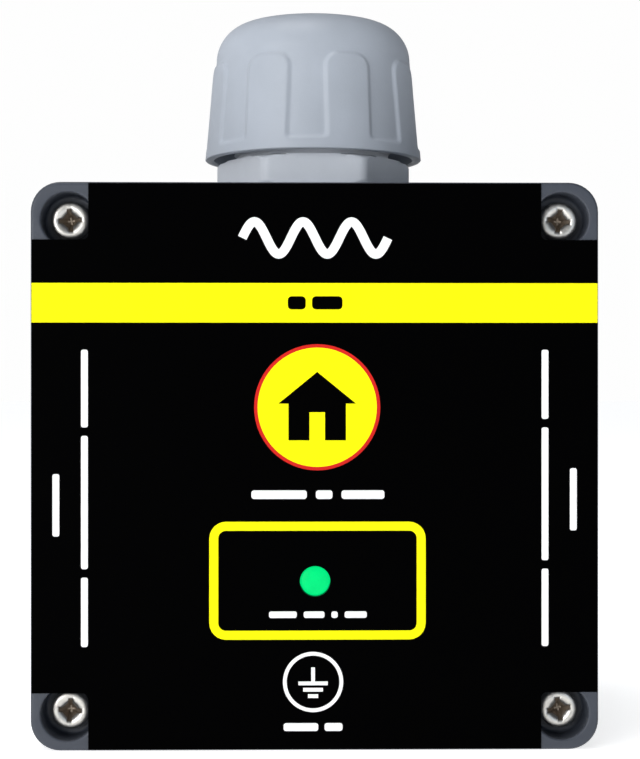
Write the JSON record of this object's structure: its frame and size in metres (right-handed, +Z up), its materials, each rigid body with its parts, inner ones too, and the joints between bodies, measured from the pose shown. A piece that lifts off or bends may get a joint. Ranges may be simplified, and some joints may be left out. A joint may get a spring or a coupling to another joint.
{
  "type": "whole house surge protector",
  "caption": "Square screwed surge protector enclosure with a face label, a green status light and a domed cable gland on top.",
  "frame": {"origin": "middle of the enclosure's bottom face", "axes": "+Z up, the gland on top; -Y is the labelled front, +Y the back that goes to the wall; +X to the right seen from the front"},
  "size_m": [0.082, 0.055, 0.11],
  "materials": {
    "housing": "fine matt texture",
    "gland_nylon": "satin",
    "label": "satin film",
    "seal": "matt",
    "screw": "bright nickel plate",
    "brass_insert": "turned",
    "nylon_clear": "satin",
    "lens": "polished",
    "laminate": "solder mask",
    "varistor_coat": "dipped epoxy",
    "fuse_coat": "ceramic",
    "capacitor_case": "moulded box",
    "resistor_coat": "lacquer",
    "diode_case": "moulded",
    "terminal_plastic": "moulded"
  },
  "bodies": {
    "root": {"enclosure_base": "housing", "gland_body": "gland_nylon", "gland_washer": "gland_nylon", "gland_locknut": "gland_nylon", "gland_grommet": "seal", "board_screw_1": "screw", "board_screw_2": "screw", "board_screw_3": "screw", "board_screw_4": "screw", "screw_insert_1": "brass_insert", "screw_insert_2": "brass_insert", "screw_insert_3": "brass_insert", "screw_insert_4": "brass_insert", "lamp_spacer": "nylon_clear", "status_lamp": "lens", "circuit_board": "laminate", "varistor_1": "varistor_coat", "varistor_2": "varistor_coat", "varistor_3": "varistor_coat", "varistor_4": "varistor_coat", "varistor_5": "varistor_coat", "varistor_6": "varistor_coat", "thermal_fuse_1": "fuse_coat", "thermal_fuse_2": "fuse_coat", "thermal_fuse_3": "fuse_coat", "film_capacitor": "capacitor_case", "lamp_resistor_1": "resistor_coat", "lamp_resistor_2": "resistor_coat", "lamp_diode": "diode_case", "terminal_block": "terminal_plastic"},
    "lid": {"enclosure_lid": "housing", "face_label": "label", "lid_gasket": "seal", "status_lens": "lens"},
    "retainer_1": {"screw_retainer_1": "nylon_clear"},
    "screw_1": {"lid_screw_1": "screw"},
    "retainer_2": {"screw_retainer_2": "nylon_clear"},
    "screw_2": {"lid_screw_2": "screw"},
    "retainer_3": {"screw_retainer_3": "nylon_clear"},
    "screw_3": {"lid_screw_3": "screw"},
    "retainer_4": {"screw_retainer_4": "nylon_clear"},
    "screw_4": {"lid_screw_4": "screw"},
    "slip_ring": {"gland_slip_ring": "nylon_clear"},
    "dome_nut": {"gland_dome_nut": "gland_nylon"},
    "clamp_screw_1": {"terminal_screw_1": "screw"},
    "clamp_screw_2": {"terminal_screw_2": "screw"},
    "clamp_screw_3": {"terminal_screw_3": "screw"},
    "clamp_screw_4": {"terminal_screw_4": "screw"}
  },
  "joints": [
    {"name": "lid_lift", "type": "slide", "parent": "root", "child": "lid", "axis": [0, -1, 0], "range_m": [0, 0.045]},
    {"name": "lid_screw_1_travel", "type": "slide", "parent": "lid", "child": "retainer_1", "axis": [0, -1, 0], "range_m": [0, 0.0066]},
    {"name": "lid_screw_1_turn", "type": "hinge", "parent": "retainer_1", "child": "screw_1", "pos_m": [0.03565, 0, 0.07665], "axis": [0, -1, 0], "range_deg": [0, 4752]},
    {"name": "lid_screw_2_travel", "type": "slide", "parent": "lid", "child": "retainer_2", "axis": [0, -1, 0], "range_m": [0, 0.0066]},
    {"name": "lid_screw_2_turn", "type": "hinge", "parent": "retainer_2", "child": "screw_2", "pos_m": [-0.03565, 0, 0.07665], "axis": [0, -1, 0], "range_deg": [0, 4752]},
    {"name": "lid_screw_3_travel", "type": "slide", "parent": "lid", "child": "retainer_3", "axis": [0, -1, 0], "range_m": [0, 0.0066]},
    {"name": "lid_screw_3_turn", "type": "hinge", "parent": "retainer_3", "child": "screw_3", "pos_m": [-0.03565, 0, 0.00535], "axis": [0, -1, 0], "range_deg": [0, 4752]},
    {"name": "lid_screw_4_travel", "type": "slide", "parent": "lid", "child": "retainer_4", "axis": [0, -1, 0], "range_m": [0, 0.0066]},
    {"name": "lid_screw_4_turn", "type": "hinge", "parent": "retainer_4", "child": "screw_4", "pos_m": [0.03565, 0, 0.00535], "axis": [0, -1, 0], "range_deg": [0, 4752]},
    {"name": "dome_nut_rise", "type": "slide", "parent": "root", "child": "slip_ring", "axis": [0, 0, 1], "range_m": [0, 0.0115]},
    {"name": "dome_nut_turn", "type": "hinge", "parent": "slip_ring", "child": "dome_nut", "pos_m": [0, 0, 0.1], "axis": [0, 0, 1], "range_deg": [0, 2740]},
    {"name": "clamp_screw_1_turn", "type": "hinge", "parent": "root", "child": "clamp_screw_1", "pos_m": [-0.01125, 0, 0.05925], "axis": [0, -1, 0], "range_deg": [0, 1800]},
    {"name": "clamp_screw_2_turn", "type": "hinge", "parent": "root", "child": "clamp_screw_2", "pos_m": [-0.00375, 0, 0.05925], "axis": [0, -1, 0], "range_deg": [0, 1800]},
    {"name": "clamp_screw_3_turn", "type": "hinge", "parent": "root", "child": "clamp_screw_3", "pos_m": [0.00375, 0, 0.05925], "axis": [0, -1, 0], "range_deg": [0, 1800]},
    {"name": "clamp_screw_4_turn", "type": "hinge", "parent": "root", "child": "clamp_screw_4", "pos_m": [0.01125, 0, 0.05925], "axis": [0, -1, 0], "range_deg": [0, 1800]}
  ],
  "couplings": [
    {"joint": "lid_screw_1_turn", "follows": "lid_screw_1_travel", "rad_per_m": 12566},
    {"joint": "lid_screw_2_turn", "follows": "lid_screw_2_travel", "rad_per_m": 12566},
    {"joint": "lid_screw_3_turn", "follows": "lid_screw_3_travel", "rad_per_m": 12566},
    {"joint": "lid_screw_4_turn", "follows": "lid_screw_4_travel", "rad_per_m": 12566},
    {"joint": "dome_nut_rise", "follows": "dome_nut_turn", "m_per_rad": 0.00023873}
  ]
}
